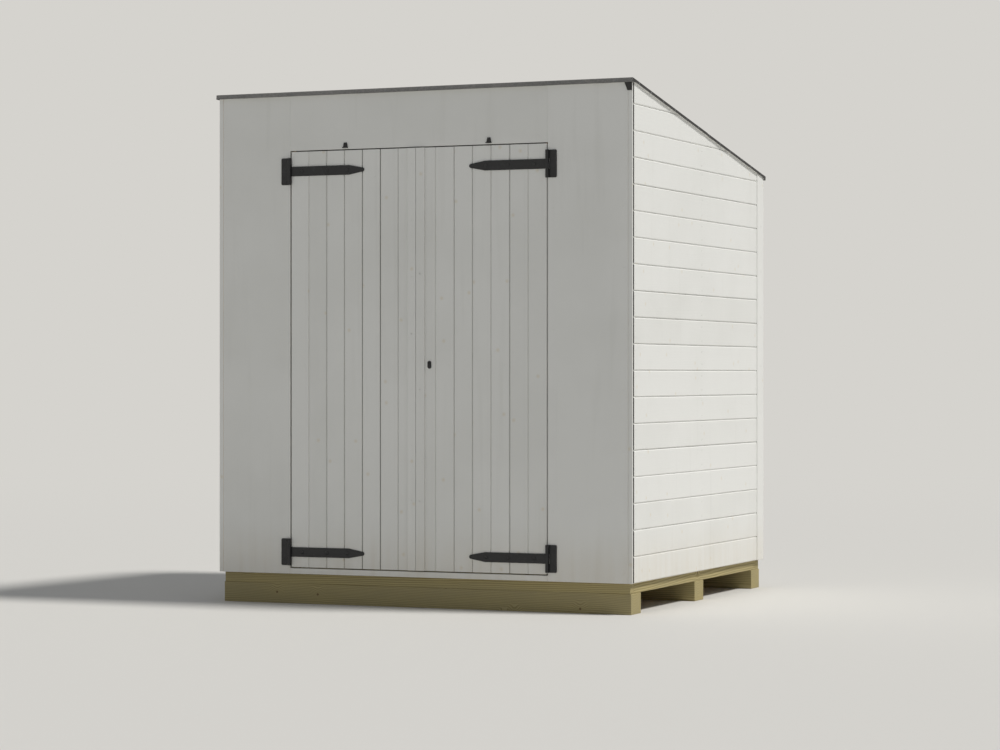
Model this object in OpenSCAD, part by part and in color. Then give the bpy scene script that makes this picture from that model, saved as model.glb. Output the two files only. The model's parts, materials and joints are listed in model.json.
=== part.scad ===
// Beach hut: a timber cabin with a lean roof, a pair of ledged and braced doors
// on long T hinges, and a framed floor that rests on three bearers.
// Millimetres. X runs to the right, Y from the front to the back and Z up.
// The origin is on the ground, at the centre of the hut's plan.

/* [Hut] */
// Width over the side boards
hut_w = 2000; // [1800:10:3000]
// Depth over the front and rear faces
hut_d = 1800; // [1400:10:3000]
// Height of the front wall, from the lower edge of the cladding to the roof boards
front_wall_h = 2145; // [2100:5:2600]
// Height of the rear wall, measured the same way
rear_wall_h = 1845; // [1600:5:2050]

/* [Base and floor] */
// Height of a bearer
bearer_h = 90; // [60:5:150]
// Depth of a bearer, from front to back
bearer_d = 120; // [70:5:200]
// How far a bearer's ends stand in from the cladding
bearer_inset = 14; // [0:1:60]
// Height of the floor joists
joist_h = 95; // [75:5:150]
// Thickness of the floor joists
joist_t = 45; // [30:1:70]
// Height of joist that shows below the cladding
joist_show = 45; // [20:5:60]
// Thickness of the floor boards
floor_t = 18; // [12:1:28]

/* [Wall frame] */
// Width of a post, stud or rafter
post_w = 45; // [35:1:80]
// Depth of the wall frame behind its skin
post_d = 45; // [35:1:80]
// Height of the top plates
plate_h = 45; // [35:1:80]
// Width of the posts beside the doors
door_post_w = 70; // [45:1:100]
// Height of the beam over the doors
header_h = 70; // [45:1:120]
// Depth of the rafter, square to the roof
rafter_h = 70; // [45:1:120]
// Play in a joint that is cut to the slope of the roof
raked_play = 0.2; // [0.1:0.1:1]

/* [Walls] */
// Thickness of the side and rear cladding
clad_t = 18; // [12:1:28]
// Width of the boards at the rear corners
rear_trim_w = 95; // [60:1:120]
// How far those boards stand out from the side boards
rear_trim_out = 3; // [1:0.5:10]
// Width of the strips that end the front at its corners
front_trim_w = 20; // [12:1:40]
// Thickness of those strips
front_trim_t = 9; // [6:1:18]
// Height of the strip under the doors
sill_h = 25; // [20:1:60]

/* [Roof] */
// Thickness of the roof boards
roof_t = 12; // [9:1:28]
// How far the roof boards pass the front wall
roof_front = 14; // [5:1:60]
// How far the roof boards pass the rear wall
roof_rear = 16; // [5:1:60]
// How far the roof boards pass the rear corner boards at the sides
roof_side = 3; // [1:1:60]
// Thickness of the roofing felt
felt_t = 3; // [2:0.5:6]
// Height of the felt's folded edge at the front and rear
felt_fold = 22; // [16:1:50]
// Height of the felt's folded edge at the sides
felt_side_fold = 15; // [12:1:50]

/* [Doors] */
// Width of the doorway between the front panels
doorway_w = 1250; // [1000:10:1500]
// Place of the doorway's middle, from the middle of the wall
doorway_x = -15; // [-100:5:100]
// Height of the wall over the doors
head_h = 247; // [150:1:400]
// Thickness of the door boards
leaf_t = 17; // [14:1:30]
// Gap between a leaf and the wall round it
leaf_gap = 5; // [4:0.5:10]
// Gap between the two leaves
meeting_gap = 6; // [5:0.5:10]
// Gap between a leaf's back and the frame that it closes on
stop_gap = 5; // [5:0.5:10]
// How far the frame laps behind a leaf's edge
stop_lap = 20; // [12:1:35]
// Thickness of the ledges and braces
ledge_t = 20; // [16:1:30]
// Height of a ledge
ledge_h = 95; // [70:1:140]
// How far a ledge stays clear of the frame and the floor
ledge_clear = 10; // [6:1:40]
// How far a ledge stops short of the leaf's free edge
ledge_end = 25; // [10:1:60]
// Width of a brace along its foot
brace_foot = 110; // [70:5:150]

/* [Hinges] */
// Thickness of the hinge iron
iron_t = 4; // [3:0.5:6]
// Radius of the hinge knuckles
knuckle_r = 8; // [7:0.5:11]
// Radius of the hinge pin
pin_r = 4; // [3:0.1:4.5]
// Play between the pin and the strap's knuckle
pin_play = 0.1; // [0.05:0.01:0.3]
// Play between one knuckle and the next
knuckle_play = 0.5; // [0.3:0.1:2]
// Gap between a knuckle and the face of the wall
knuckle_lift = 0.5; // [0.3:0.1:2]
// Height of the hinge plate on the wall
hinge_plate_h = 120; // [90:1:180]
// Width of the hinge plate, from the pin
hinge_plate_w = 42; // [35:1:90]
// Length of the strap, from the pin
strap_l = 370; // [200:5:500]
// Height of the strap
strap_h = 43; // [30:1:60]
// Length of the strap's narrowing tip
strap_tip_l = 75; // [40:5:120]
// Radius at the end of the tip
strap_tip_r = 9; // [5:0.5:15]
// Height of the lower hinge above the foot of the leaf
hinge_low = 68; // [65:1:200]
// Depth of the upper hinge below the head of the leaf
hinge_high = 88; // [70:1:200]

/* [Fittings] */
// Height of the lock above the foot of the leaf
lock_up = 907; // [700:1:1200]
// Distance of the lock from the leaf's free edge
lock_in = 60; // [45:1:100]
// Width of the plate round the lock's barrel
lock_w = 18; // [16:1:50]
// Height of that plate
lock_h = 34; // [30:1:90]
// Thickness of that plate
lock_t = 3; // [2:0.5:6]
// Radius of the lock's barrel
barrel_r = 7; // [6:0.5:8.5]
// Height of the barrel above the middle of its plate
barrel_up = 7.5; // [5:0.5:9]
// How far the barrel stands out from the plate
barrel_out = 3; // [2:0.5:8]
// Width of the lock case inside
case_w = 84; // [60:1:120]
// Height of the lock case inside
case_h = 62; // [40:1:90]
// Thickness of the lock case inside
case_t = 18; // [12:1:30]
// Width of a clip at its foot
clip_w = 24; // [16:1:60]
// Width of a clip at its top
clip_top_w = 14; // [8:1:40]
// Height of the clips
clip_h = 24; // [16:1:50]
// Distance of a clip from the doorway's middle
clip_x = 348; // [200:1:450]
// Depth of the clips' folded lip
clip_lip = 12; // [6:1:16]

/* [Hidden] */

$fn = 48;
LEFT = -1;
RIGHT = 1;
// How far a cutting shape runs past what it cuts
past = 5;

// Colours of the finishes
white_paint = "#e6e6e2";
treated_timber = "#a59f6e";
bare_timber = "#c9a878";
black_iron = "#17181a";
felt_black = "#2b2a2a";

// Faces of the walls, from the outside in
clad_x = hut_w / 2;
front_y = -hut_d / 2;
rear_y = hut_d / 2;
front_t = leaf_t + stop_gap;
frame_x = clad_x - clad_t;
room_x = frame_x - post_d;
frame_y = front_y + front_t;
room_y = frame_y + post_d;
frame_rear_y = rear_y - clad_t;
room_rear_y = frame_rear_y - post_d;

// Heights, from the ground up
clad_z = bearer_h + joist_show;
floor_z = bearer_h + joist_h;
room_z = floor_z + floor_t;
sill_z = clad_z + sill_h;
leaf_z = sill_z + leaf_gap;
eaves_z = clad_z + front_wall_h;
head_z = eaves_z - head_h;
leaf_top_z = head_z - leaf_gap;

// The roof plane, which the walls are cut to, and the roof boards just above it
roof_a = atan((front_wall_h - rear_wall_h) / hut_d);
roof_l = hut_d / cos(roof_a);
roof_x = clad_x + rear_trim_out + roof_side;
function roof_z(y) = eaves_z - (y - front_y) * tan(roof_a);
function roof_point(along, up) = [
    front_y + along * cos(roof_a) + up * sin(roof_a),
    eaves_z + raked_play - along * sin(roof_a) + up * cos(roof_a)
];
front_plate_z = roof_z(room_y) - plate_h;
rear_plate_z = roof_z(frame_rear_y) - plate_h;
rake_drop = plate_h / cos(roof_a);
stud_drop = rake_drop + raked_play;

// The door leaves, on the right side of the doorway's middle
half_door = doorway_w / 2;
free_x = meeting_gap / 2;
hung_x = half_door - leaf_gap;
leaf_back_y = front_y + leaf_t;
ledge_back_y = leaf_back_y + ledge_t;
stop_x = half_door - stop_lap;
ledge_x = [free_x + ledge_end, stop_x - ledge_clear];
low_ledge_z = room_z + ledge_clear;
high_ledge_z = leaf_top_z - hinge_high - ledge_h / 2;
mid_ledge_z = (low_ledge_z + high_ledge_z) / 2;
ledge_zs = [low_ledge_z, mid_ledge_z, high_ledge_z];

// The hinges, whose pin stands in front of the edge of the doorway
pin_x = half_door;
pin_y = front_y - knuckle_r - knuckle_lift;
hinge_zs = [leaf_z + hinge_low, leaf_top_z - hinge_high];
knuckle_z = strap_h / 2 + knuckle_play;
notch_w = knuckle_r + 2 * knuckle_play;
plate_corner_r = 6;

// The lock
lock_x = free_x + lock_in;
lock_z = leaf_z + lock_up;
lock_corner_r = lock_w / 2 - 0.5;
keyhole_w = 2.5;
keyhole_h = 9;
keyhole_deep = 3;
case_edge = 8;

// A box between two values on each axis
module box(x, y, z) {
    translate([x[0], y[0], z[0]])
        cube([x[1] - x[0], y[1] - y[0], z[1] - z[0]]);
}

// A prism along X from an outline in Y and Z
module along_x(x, outline) {
    translate([x[0], 0, 0])
        rotate([90, 0, 90])
            linear_extrude(x[1] - x[0])
                polygon(outline);
}

// A plate that stands on a face and grows from it towards the front
module plate_on(y, t) {
    translate([0, y, 0])
        rotate([90, 0, 0])
            linear_extrude(t)
                children();
}

// Draws on the right side, or mirrored on the left
module on_side(side) {
    mirror([side < 0 ? 1 : 0, 0, 0])
        children();
}

// Places what is drawn about the doorway's middle, mirrored on the left
module at_doorway(side) {
    translate([doorway_x, 0, 0])
        on_side(side)
            children();
}

// A stretch of the wall that reaches as far to each side of the doorway's middle
function about_doorway(half) = [doorway_x - half, doorway_x + half];

// The outline of a piece that runs up to the roof boards
function up_to_roof(y, z) = [[y[0], z], [y[1], z], [y[1], roof_z(y[1])], [y[0], roof_z(y[0])]];

// The outline of a piece that lies along the underside of the roof
function along_roof(y, drop) = [
    [y[0], roof_z(y[0]) - drop], [y[1], roof_z(y[1]) - drop],
    [y[1], roof_z(y[1])], [y[0], roof_z(y[0])]
];

// A rectangle with round corners, about its own centre
module round_rect(w, h, r) {
    square([w - 2 * r, h], center = true);
    square([w, h - 2 * r], center = true);
    for (x = [-1, 1], z = [-1, 1])
        translate([x * (w / 2 - r), z * (h / 2 - r)])
            circle(r);
}

// Base: three bearers across the hut
module bearer(y) {
    color(treated_timber)
        box([-clad_x + bearer_inset, clad_x - bearer_inset], [y, y + bearer_d], [0, bearer_h]);
}

module front_bearer() {
    bearer(frame_y);
}

module middle_bearer() {
    bearer((frame_y + frame_rear_y - bearer_d) / 2);
}

module rear_bearer() {
    bearer(frame_rear_y - bearer_d);
}

// Floor: rim joists across the ends, joists between them and boards on top
module joist(x) {
    color(treated_timber)
        box([x, x + joist_t], [frame_y + joist_t, frame_rear_y - joist_t], [bearer_h, floor_z]);
}

module left_joist() {
    joist(-frame_x);
}

module right_joist() {
    joist(frame_x - joist_t);
}

module centre_joist() {
    joist(-joist_t / 2);
}

module rim_joists() {
    color(treated_timber)
        for (y = [frame_y, frame_rear_y - joist_t])
            box([-frame_x, frame_x], [y, y + joist_t], [bearer_h, floor_z]);
}

module floor_deck() {
    color(bare_timber)
        box([-frame_x, frame_x], [frame_y, frame_rear_y], [floor_z, room_z]);
}

// Wall frame: posts, studs and plates
module front_post(side) {
    color(bare_timber)
        on_side(side)
            box([frame_x - post_w, frame_x], [frame_y, room_y], [room_z, front_plate_z]);
}

module rear_post(side) {
    color(bare_timber)
        on_side(side)
            box([frame_x - post_w, frame_x], [room_rear_y, frame_rear_y], [room_z, rear_plate_z]);
}

module front_left_post() {
    front_post(LEFT);
}

module front_right_post() {
    front_post(RIGHT);
}

module rear_left_post() {
    rear_post(LEFT);
}

module rear_right_post() {
    rear_post(RIGHT);
}

module door_post(side) {
    color(bare_timber)
        at_doorway(side)
            box([stop_x, stop_x + door_post_w], [frame_y, room_y], [room_z, front_plate_z]);
}

module left_door_post() {
    door_post(LEFT);
}

module right_door_post() {
    door_post(RIGHT);
}

module door_header() {
    color(bare_timber)
        box(
            about_doorway(stop_x),
            [frame_y, room_y],
            [head_z - stop_lap, head_z - stop_lap + header_h]
        );
}

module front_top_plate() {
    color(bare_timber)
        along_x([-frame_x, frame_x], up_to_roof([frame_y, room_y], front_plate_z));
}

module rear_top_plate() {
    color(bare_timber)
        along_x([-frame_x, frame_x], up_to_roof([room_rear_y, frame_rear_y], rear_plate_z));
}

module raked_plate(side) {
    color(bare_timber)
        on_side(side)
            along_x([room_x, frame_x], along_roof([room_y, room_rear_y], rake_drop));
}

module left_top_plate() {
    raked_plate(LEFT);
}

module right_top_plate() {
    raked_plate(RIGHT);
}

// A stud halfway along each side wall and the rear wall
module wall_studs() {
    mid_y = (frame_y + frame_rear_y) / 2;
    y = [mid_y - post_w / 2, mid_y + post_w / 2];
    color(bare_timber) {
        for (side = [LEFT, RIGHT])
            on_side(side)
                along_x([room_x, frame_x], [
                    [y[0], room_z], [y[1], room_z],
                    [y[1], roof_z(y[1]) - stud_drop], [y[0], roof_z(y[0]) - stud_drop]
                ]);
        box([-post_w / 2, post_w / 2], [room_rear_y, frame_rear_y], [room_z, rear_plate_z]);
    }
}

// Skin of the walls
module side_cladding(side) {
    color(white_paint)
        on_side(side)
            along_x([frame_x, clad_x], up_to_roof([frame_y, rear_y - rear_trim_w], clad_z));
}

module left_cladding() {
    side_cladding(LEFT);
}

module right_cladding() {
    side_cladding(RIGHT);
}

module rear_cladding() {
    color(white_paint)
        along_x([-frame_x, frame_x], up_to_roof([frame_rear_y, rear_y], clad_z));
}

module front_panel(side) {
    color(white_paint)
        on_side(side)
            along_x(
                [half_door + side * doorway_x, clad_x - front_trim_w],
                up_to_roof([front_y, frame_y], clad_z)
            );
}

module left_front_panel() {
    front_panel(LEFT);
}

module right_front_panel() {
    front_panel(RIGHT);
}

module head_panel() {
    color(white_paint)
        along_x(about_doorway(half_door), up_to_roof([front_y, frame_y], head_z));
}

module door_sill() {
    color(white_paint)
        box(about_doorway(half_door), [front_y, frame_y], [clad_z, sill_z]);
}

// A pair of upright trims, one at each side
module trims(x, y) {
    color(white_paint)
        for (side = [LEFT, RIGHT])
            on_side(side)
                along_x(x, up_to_roof(y, clad_z));
}

// Thin strips end the front, with an open joint between them and the side boards
module front_trims() {
    trims([clad_x - front_trim_w, clad_x], [front_y, front_y + front_trim_t]);
}

// The side boards butt against a board at each rear corner
module rear_trims() {
    trims([frame_x, clad_x + rear_trim_out], [rear_y - rear_trim_w, rear_y]);
}

// Roof: a rafter, boards across it, and felt folded down round the edge
module centre_rafter() {
    color(bare_timber)
        along_x(
            [-post_w / 2, post_w / 2],
            along_roof([room_y, room_rear_y], rafter_h / cos(roof_a))
        );
}

// The outline of a layer of the roof, grown by a margin beyond the boards
function roof_layer(low, high, margin) = [
    roof_point(-roof_front - margin, low), roof_point(roof_l + roof_rear + margin, low),
    roof_point(roof_l + roof_rear + margin, high), roof_point(-roof_front - margin, high)
];

module roof_deck() {
    color(bare_timber)
        along_x([-roof_x, roof_x], roof_layer(0, roof_t, 0));
}

module roof_felt() {
    outer_x = roof_x + felt_t;
    top = roof_t + felt_t;
    color(felt_black)
        difference() {
            union() {
                along_x([-roof_x, roof_x], roof_layer(top - felt_fold, top, felt_t));
                along_x([-outer_x, outer_x], roof_layer(top - felt_side_fold, top, felt_t));
            }
            along_x([-roof_x, roof_x], roof_layer(-felt_fold, roof_t, 0));
        }
}

// Door leaves: upright boards, three ledges and two braces behind them
module leaf_boards(side) {
    color(white_paint)
        at_doorway(side)
            box([free_x, hung_x], [front_y, leaf_back_y], [leaf_z, leaf_top_z]);
}

module leaf_ledges(side) {
    color(white_paint)
        at_doorway(side)
            for (z = ledge_zs)
                box(ledge_x, [leaf_back_y, ledge_back_y], [z, z + ledge_h]);
}

// A brace rises from the hung edge to the free edge, from one ledge to the next
module brace(low_z, high_z) {
    plate_on(ledge_back_y, ledge_t)
        polygon([
            [ledge_x[1] - brace_foot, low_z], [ledge_x[1], low_z],
            [ledge_x[0] + brace_foot, high_z], [ledge_x[0], high_z]
        ]);
}

module leaf_braces(side) {
    color(white_paint)
        at_doorway(side)
            for (i = [0, 1])
                brace(ledge_zs[i] + ledge_h, ledge_zs[i + 1]);
}

module left_leaf_boards() {
    leaf_boards(LEFT);
}

module left_leaf_ledges() {
    leaf_ledges(LEFT);
}

module left_leaf_braces() {
    leaf_braces(LEFT);
}

module right_leaf_boards() {
    leaf_boards(RIGHT);
}

module right_leaf_ledges() {
    leaf_ledges(RIGHT);
}

module right_leaf_braces() {
    leaf_braces(RIGHT);
}

// T hinges, drawn at height zero for the right side
module knuckle(low, high) {
    translate([pin_x, pin_y, low])
        cylinder(h = high - low, r = knuckle_r);
}

// The wall plate carries two knuckles and the pin through them
module hinge_plate() {
    half_h = hinge_plate_h / 2;
    difference() {
        plate_on(front_y, iron_t)
            translate([pin_x + hinge_plate_w / 2, 0])
                round_rect(hinge_plate_w, hinge_plate_h, plate_corner_r);
        box([pin_x - past, pin_x + notch_w], [pin_y - past, frame_y], [-knuckle_z, knuckle_z]);
    }
    knuckle(-half_h, -knuckle_z);
    knuckle(knuckle_z, half_h);
    translate([pin_x, pin_y, -half_h])
        cylinder(h = hinge_plate_h, r = pin_r);
}

// The outline of a strap: even from the pin, then it narrows like a spear to a round end
module strap_outline() {
    tip_x = pin_x - strap_l + strap_tip_l;
    end_x = pin_x - strap_l + strap_tip_r;
    polygon([
        [pin_x, -strap_h / 2], [pin_x, strap_h / 2], [tip_x, strap_h / 2],
        [end_x, strap_tip_r], [end_x, -strap_tip_r], [tip_x, -strap_h / 2]
    ]);
    translate([end_x, 0])
        circle(strap_tip_r);
}

// The strap turns on the pin, on a knuckle between the plate's two
module hinge_strap() {
    difference() {
        union() {
            plate_on(front_y, iron_t)
                strap_outline();
            knuckle(-strap_h / 2, strap_h / 2);
        }
        translate([pin_x, pin_y, -strap_h / 2 - past])
            cylinder(h = strap_h + 2 * past, r = pin_r + pin_play);
    }
}

// Half a turn about Y carries a right hinge to the left side
module at_hinges(side) {
    color(black_iron)
        for (z = hinge_zs)
            translate([doorway_x, 0, z])
                rotate([0, side == LEFT ? 180 : 0, 0])
                    children();
}

module hinge_plates(side) {
    at_hinges(side)
        hinge_plate();
}

module hinge_straps(side) {
    at_hinges(side)
        hinge_strap();
}

module left_hinge_plates() {
    hinge_plates(LEFT);
}

module left_hinge_straps() {
    hinge_straps(LEFT);
}

module right_hinge_plates() {
    hinge_plates(RIGHT);
}

module right_hinge_straps() {
    hinge_straps(RIGHT);
}

// Lock on the right leaf: a small plate with a barrel, and a case inside
module lock_plate() {
    color(black_iron)
        at_doorway(RIGHT)
            difference() {
                union() {
                    plate_on(front_y, lock_t)
                        translate([lock_x, lock_z])
                            round_rect(lock_w, lock_h, lock_corner_r);
                    plate_on(front_y, lock_t + barrel_out)
                        translate([lock_x, lock_z + barrel_up])
                            circle(barrel_r);
                }
                plate_on(front_y - lock_t - barrel_out + keyhole_deep, keyhole_deep + past)
                    translate([lock_x, lock_z + barrel_up])
                        square([keyhole_w, keyhole_h], center = true);
            }
}

module lock_case() {
    case_z = mid_ledge_z + ledge_h / 2;
    color(black_iron)
        at_doorway(RIGHT)
            box(
                [ledge_x[0] + case_edge, ledge_x[0] + case_edge + case_w],
                [ledge_back_y, ledge_back_y + case_t],
                [case_z - case_h / 2, case_z + case_h / 2]
            );
}

// Two small folded clips on the wall just over the leaves
module clip(x) {
    low_z = head_z + leaf_gap;
    plate_on(front_y, iron_t)
        translate([x, low_z])
            polygon([
                [-clip_w / 2, 0], [clip_w / 2, 0],
                [clip_top_w / 2, clip_h], [-clip_top_w / 2, clip_h]
            ]);
    box([x - clip_w / 2, x + clip_w / 2], [front_y - clip_lip, front_y], [low_z, low_z + iron_t]);
}

module head_clips() {
    color(black_iron) {
        clip(doorway_x - clip_x);
        clip(doorway_x + clip_x);
    }
}

front_bearer();
middle_bearer();
rear_bearer();
left_joist();
right_joist();
centre_joist();
rim_joists();
floor_deck();
front_left_post();
front_right_post();
rear_left_post();
rear_right_post();
left_door_post();
right_door_post();
door_header();
front_top_plate();
rear_top_plate();
left_top_plate();
right_top_plate();
wall_studs();
left_cladding();
right_cladding();
rear_cladding();
left_front_panel();
right_front_panel();
head_panel();
door_sill();
front_trims();
rear_trims();
centre_rafter();
roof_deck();
roof_felt();
left_leaf_boards();
left_leaf_ledges();
left_leaf_braces();
right_leaf_boards();
right_leaf_ledges();
right_leaf_braces();
left_hinge_plates();
left_hinge_straps();
right_hinge_plates();
right_hinge_straps();
lock_plate();
lock_case();
head_clips();
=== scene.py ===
# %% [markdown]
# A small beach hut, dressed for the camera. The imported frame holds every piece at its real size
# and place, so this lesson only finishes what is there: boards in place of plain slabs, eased
# edges on sawn timber, iron with its bolts, felt on the roof, and a real finish on every surface.

# %% Load the frame
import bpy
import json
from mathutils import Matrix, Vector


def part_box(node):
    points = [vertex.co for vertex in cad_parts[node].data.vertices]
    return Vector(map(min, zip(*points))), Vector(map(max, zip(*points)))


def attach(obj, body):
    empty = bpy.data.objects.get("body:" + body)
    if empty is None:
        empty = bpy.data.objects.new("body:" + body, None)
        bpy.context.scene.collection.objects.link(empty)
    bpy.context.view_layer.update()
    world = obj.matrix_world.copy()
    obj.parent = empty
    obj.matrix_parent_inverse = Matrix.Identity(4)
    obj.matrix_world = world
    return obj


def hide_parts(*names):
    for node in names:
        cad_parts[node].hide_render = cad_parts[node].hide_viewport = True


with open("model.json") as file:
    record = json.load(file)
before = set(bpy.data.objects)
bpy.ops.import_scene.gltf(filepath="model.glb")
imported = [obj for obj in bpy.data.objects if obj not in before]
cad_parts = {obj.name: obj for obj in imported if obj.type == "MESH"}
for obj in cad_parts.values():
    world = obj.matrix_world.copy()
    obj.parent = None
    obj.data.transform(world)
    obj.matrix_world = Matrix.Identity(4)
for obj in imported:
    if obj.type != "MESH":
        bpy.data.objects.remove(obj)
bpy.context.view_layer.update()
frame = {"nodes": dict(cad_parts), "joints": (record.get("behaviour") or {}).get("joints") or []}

# %% Modules and units
import json
import math
from contextlib import contextmanager

import bmesh
import bpy
import numpy as np
from mathutils import Matrix, Vector

MM = 0.001
X, Y, Z = Vector((1, 0, 0)), Vector((0, 1, 0)), Vector((0, 0, 1))
SIDES = (("left", -1), ("right", 1))
chance = np.random.default_rng(11)

# %% [markdown]
# The roof falls to the back. Its slope isn't written again here: it is read off the side wall,
# whose top edge was cut to it. A point on the roof is then a distance along the slope from the
# front wall's face and a height above the slope.

# %% The slope of the roof
wall_low, wall_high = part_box("right_cladding")
wall_points = [v.co for v in frame["nodes"]["right_cladding"].data.vertices]
rear_top = max(p.z for p in wall_points if abs(p.y - wall_high.y) < MM)
fall = math.atan2(wall_high.z - rear_top, wall_high.y - wall_low.y)
down_slope = Vector((0, math.cos(fall), -math.sin(fall)))
roof_up = Vector((0, math.sin(fall), math.cos(fall)))
eave = Vector((0, wall_low.y, wall_high.z))
print("roof falls", round(math.degrees(fall), 2), "degrees")

# %% [markdown]
# The frame's pieces already stand in their places, so whatever is added is measured off them and
# no place is written twice. These helpers read a piece's reach on the slope, the stretches that
# its solids fill, and its middle.

# %% Helpers for measuring the frame


def slope_reach(node):
    """How far a node reaches along the slope, front and rear, and its lowest and highest level."""
    points = [v.co - eave for v in frame["nodes"][node].data.vertices]
    along = [p.dot(down_slope) for p in points]
    above = [p.dot(roof_up) for p in points]
    return min(along), max(along), min(above), max(above)


def under_roof(point, clear):
    """True where a point of a wall lies at least so far below the roof boards."""
    return (point - eave).dot(roof_up) < -clear


def stretches(node, axis=Z, apart=200 * MM):
    """The stretches along an axis that a node's solids fill, lowest first."""
    levels = sorted(v.co.dot(axis) for v in frame["nodes"][node].data.vertices)
    found = [[levels[0], levels[0]]]
    for level in levels:
        if level - found[-1][1] > apart:
            found.append([level, level])
        found[-1][1] = level
    return found


def stretch_middles(node, axis=Z):
    """The middles of those stretches."""
    return [(low + high) / 2 for low, high in stretches(node, axis)]


def middle(node):
    """The middle of a node's box."""
    low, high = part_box(node)
    return (low + high) / 2


# %% [markdown]
# Blender's operators act on whatever is selected, so each step starts from an empty selection.
# These helpers keep that in one place: one makes a piece active, one opens it for editing, and
# the others pick its faces, edges or points by where they are.

# %% Helpers for selecting


def make_active(piece):
    bpy.ops.object.select_all(action="DESELECT")
    piece.select_set(True)
    bpy.context.view_layer.objects.active = piece


@contextmanager
def editing(piece, mode="FACE"):
    make_active(piece)
    bpy.ops.object.mode_set(mode="EDIT")
    bpy.ops.mesh.select_mode(type=mode)
    bpy.ops.mesh.select_all(action="DESELECT")
    yield
    bpy.ops.object.mode_set(mode="OBJECT")


def pick(piece, kind, wanted):
    """Selects the faces, edges or verts of a piece that are wanted, and nothing else."""
    bpy.ops.mesh.select_all(action="DESELECT")
    mesh = bmesh.from_edit_mesh(piece.data)
    for number, part in enumerate(getattr(mesh, kind)):
        if wanted(number, part):
            part.select_set(True)
    bmesh.update_edit_mesh(piece.data)


def pick_faces(piece, wanted):
    """Picks faces by their centre and normal."""
    pick(piece, "faces", lambda number, face: wanted(face.calc_center_median(), face.normal))


def pick_edges(piece, wanted):
    """Picks edges by their middle and the way from end to end."""
    pick(piece, "edges", lambda number, edge: wanted(
        (edge.verts[0].co + edge.verts[1].co) / 2, edge.verts[1].co - edge.verts[0].co))


def pick_points(piece, wanted):
    """Picks points by their number and place."""
    pick(piece, "verts", lambda number, vert: wanted(number, vert.co))


# %% [markdown]
# Every new piece starts as one of Blender's primitives, added at its size and place. A finished
# piece keeps its place in its mesh, with its object at the origin, so whatever moves or turns a
# piece settles it at the end.

# %% Helpers for making and placing


def settle(piece):
    """Moves a piece's place, turn and scale into its mesh."""
    make_active(piece)
    bpy.ops.object.transform_apply(location=True, rotation=True, scale=True)


def primitive(name, operator, scale=(1, 1, 1), **settings):
    """Adds one of Blender's primitives while nothing else is selected."""
    bpy.ops.object.select_all(action="DESELECT")
    operator(**settings)
    piece = bpy.context.object
    piece.name = name
    piece.scale = scale
    settle(piece)
    return piece


def block(name, low, high):
    """A cube primitive drawn out between two corners."""
    low, high = Vector(low), Vector(high)
    return primitive(name, bpy.ops.mesh.primitive_cube_add, high - low, size=1,
                     location=(low + high) / 2)


# %% [markdown]
# A piece is modelled in whatever axes are easiest, flat and at the origin, and then carried to
# where it belongs. Modifiers are applied at once, so that the next step works on real faces.

# %% Helpers for shaping, joining and copying


def apply_modifier(piece, kind, **settings):
    modifier = piece.modifiers.new(kind.lower(), kind)
    for key, value in settings.items():
        setattr(modifier, key, value)
    make_active(piece)
    bpy.ops.object.modifier_apply(modifier=modifier.name)


def ease(piece, width, segments=1):
    apply_modifier(piece, "BEVEL", width=width, segments=segments, limit_method="ANGLE",
                   angle_limit=math.radians(35))


def place(piece, origin, along, across):
    """Carries a piece from its own axes to the hut: its X goes along, its Y across."""
    turn = Matrix((along, across, along.cross(across))).transposed()
    piece.matrix_world = Matrix.Translation(origin) @ turn.to_4x4()
    settle(piece)


def saw(point, way, **settings):
    """In edit mode, draws a cut through the whole piece along a plane."""
    bpy.ops.mesh.select_all(action="SELECT")
    bpy.ops.mesh.bisect(plane_co=point, plane_no=way, **settings)


def cut_off(piece, point, outward):
    """Saws off what lies past a plane and closes the cut."""
    with editing(piece):
        saw(point, outward, clear_outer=True, use_fill=True)


def join(name, pieces):
    bpy.ops.object.select_all(action="DESELECT")
    for piece in pieces:
        piece.select_set(True)
    bpy.context.view_layer.objects.active = pieces[0]
    if len(pieces) > 1:
        bpy.ops.object.join()
    pieces[0].name = name
    return pieces[0]


def copy_of(piece):
    twin = piece.copy()
    twin.data = piece.data.copy()
    bpy.context.scene.collection.objects.link(twin)
    return twin


# %% [markdown]
# Timber is never one even colour, because each board comes from another place in the log. Every
# loose part of a piece gets its own log: a spot for the pith, some way behind the board, and a
# tone. They are kept as attributes on the mesh, so that one material does for every direction.

# %% Give each board its own log
LOG_LENGTH = 40
PITH_ASIDE = 35 * MM
PITH_BEHIND = (35 * MM, 80 * MM)


def loose_parts(mesh):
    """A number for each vertex, the same for all that hang together."""
    group = np.arange(len(mesh.vertices))
    ends = np.array([e.vertices[:] for e in mesh.edges])
    while True:
        lowest = np.minimum(group[ends[:, 0]], group[ends[:, 1]])
        before = group.copy()
        np.minimum.at(group, ends[:, 0], lowest)
        np.minimum.at(group, ends[:, 1], lowest)
        group = group[group]
        if (group == before).all():
            return group


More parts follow.
